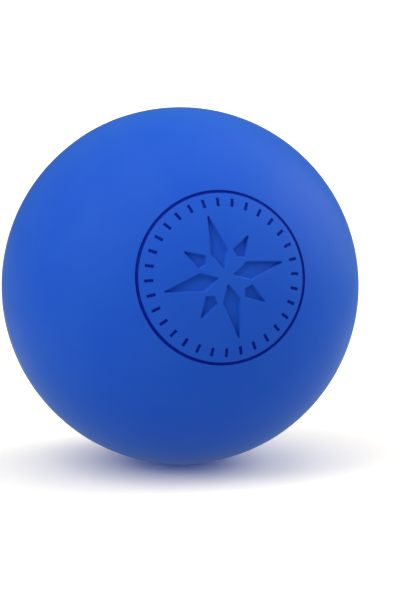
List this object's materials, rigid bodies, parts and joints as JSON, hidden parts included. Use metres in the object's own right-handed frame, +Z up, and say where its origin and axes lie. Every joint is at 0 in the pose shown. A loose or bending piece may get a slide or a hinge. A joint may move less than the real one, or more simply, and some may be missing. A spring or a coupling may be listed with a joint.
{
  "type": "lacrosse ball",
  "caption": "Solid moulded rubber ball with a mark in its skin: an inked ring line, a circle of inked dashes and a compass rose of plain recesses.",
  "frame": {"origin": "the centre of the ball", "axes": "+Z up as the ball lies in the picture, -Y towards the side that carries the mark, whose axis lies in the YZ plane and rises 10.5 degrees above -Y"},
  "size_m": [0.0636, 0.0634, 0.0636],
  "materials": {
    "moulded_rubber": "matte, saturated mid blue, coloured right through",
    "navy_ink": "satin, dark navy"
  },
  "bodies": {
    "root": {"ball_body": "moulded_rubber", "ring_ink": "navy_ink", "dash_ink": "navy_ink"}
  },
  "joints": []
}
